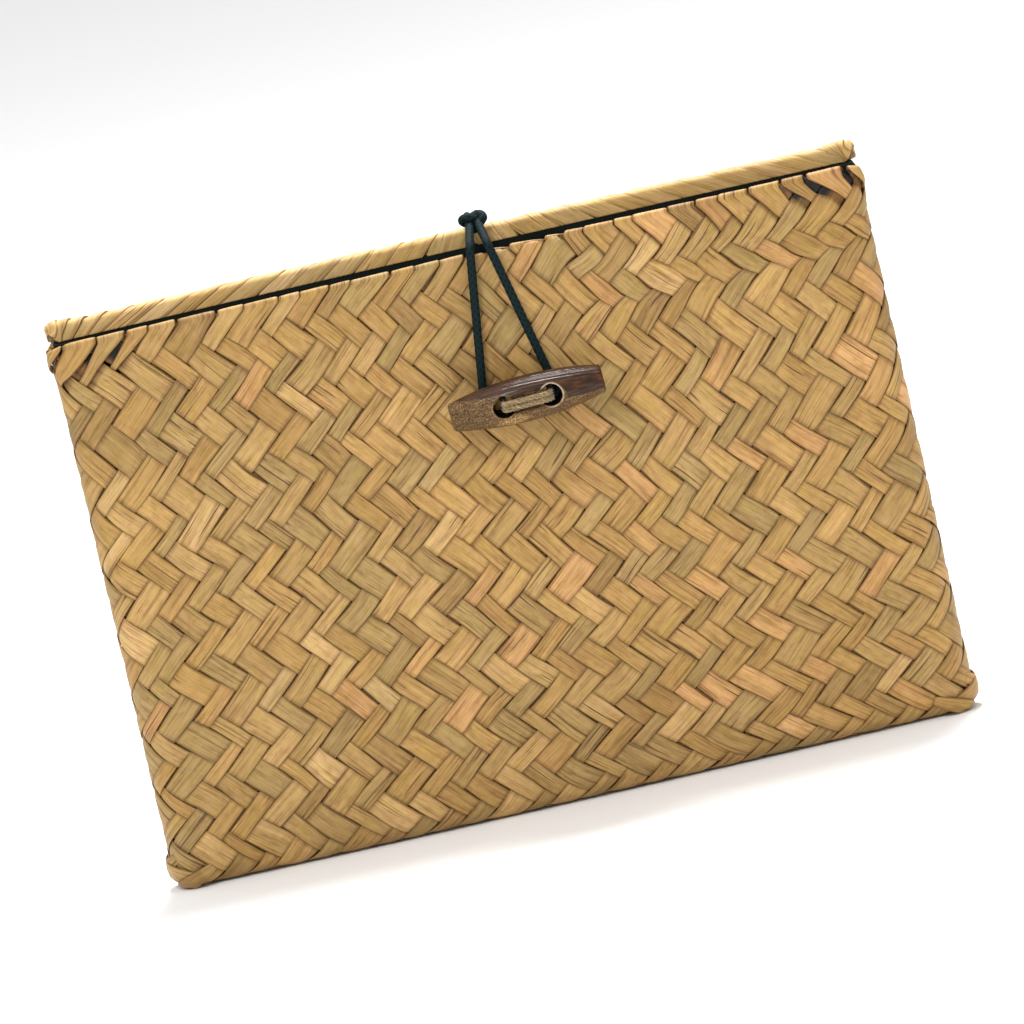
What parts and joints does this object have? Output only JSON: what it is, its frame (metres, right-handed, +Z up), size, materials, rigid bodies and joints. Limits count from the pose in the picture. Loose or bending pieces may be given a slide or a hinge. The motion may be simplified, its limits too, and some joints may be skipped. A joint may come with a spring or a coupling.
{
  "type": "clutch purse",
  "caption": "Flat rectangular clutch plaited from straw strips, lined, closed by an elastic loop over a wooden toggle.",
  "frame": {"origin": "centre of the flat bottom face that the clutch stands on", "axes": "+X to the right along the width, -Y out of the front that carries the toggle, +Z up"},
  "size_m": [0.262, 0.0404, 0.1897],
  "materials": {
    "plaited_straw": "dry plaited straw, faint sheen",
    "rim_straw": "dry folded straw, faint sheen",
    "black_cotton": "matt woven cotton",
    "black_thread": "matt thread",
    "black_elastic": "braided elastic cord",
    "varnished_wood": "dark, half worn varnish",
    "natural_twine": "twisted natural twine"
  },
  "bodies": {
    "root": {"woven_back_panel": "plaited_straw", "woven_left_side": "plaited_straw", "woven_right_side": "plaited_straw", "woven_bottom": "plaited_straw", "left_corner_tuck": "plaited_straw", "right_corner_tuck": "plaited_straw", "back_rim_band": "rim_straw", "back_lining": "black_cotton", "bottom_lining": "black_cotton", "back_hem_stitches": "black_thread", "loop_anchor": "black_elastic"},
    "front": {"woven_front_panel": "plaited_straw", "front_rim_fold": "rim_straw", "front_lining": "black_cotton", "front_hem_stitches": "black_thread", "toggle_twine": "natural_twine", "twine_knot": "natural_twine"},
    "toggle": {"toggle": "varnished_wood"},
    "loop": {"elastic_loop": "black_elastic", "loop_knot": "black_elastic"}
  },
  "joints": [
    {"name": "mouth_open", "type": "hinge", "parent": "root", "child": "front", "pos_m": [0, -0.0105, 0.009], "axis": [1, 0, 0], "range_deg": [0, 12]},
    {"name": "loop_swing", "type": "hinge", "parent": "root", "child": "loop", "pos_m": [0.0085, 0.0028, 0.187], "axis": [-1, 0, 0], "range_deg": [0, 168], "deforming": ["elastic_loop"]},
    {"name": "toggle_turn", "type": "hinge", "parent": "front", "child": "toggle", "pos_m": [0.0125, -0.02067, 0.132], "axis": [0, 1, 0], "range_deg": [-10, 10]}
  ],
  "couplings": [
    {"joint": "loop_swing", "follows": "mouth_open", "ratio": 14}
  ]
}
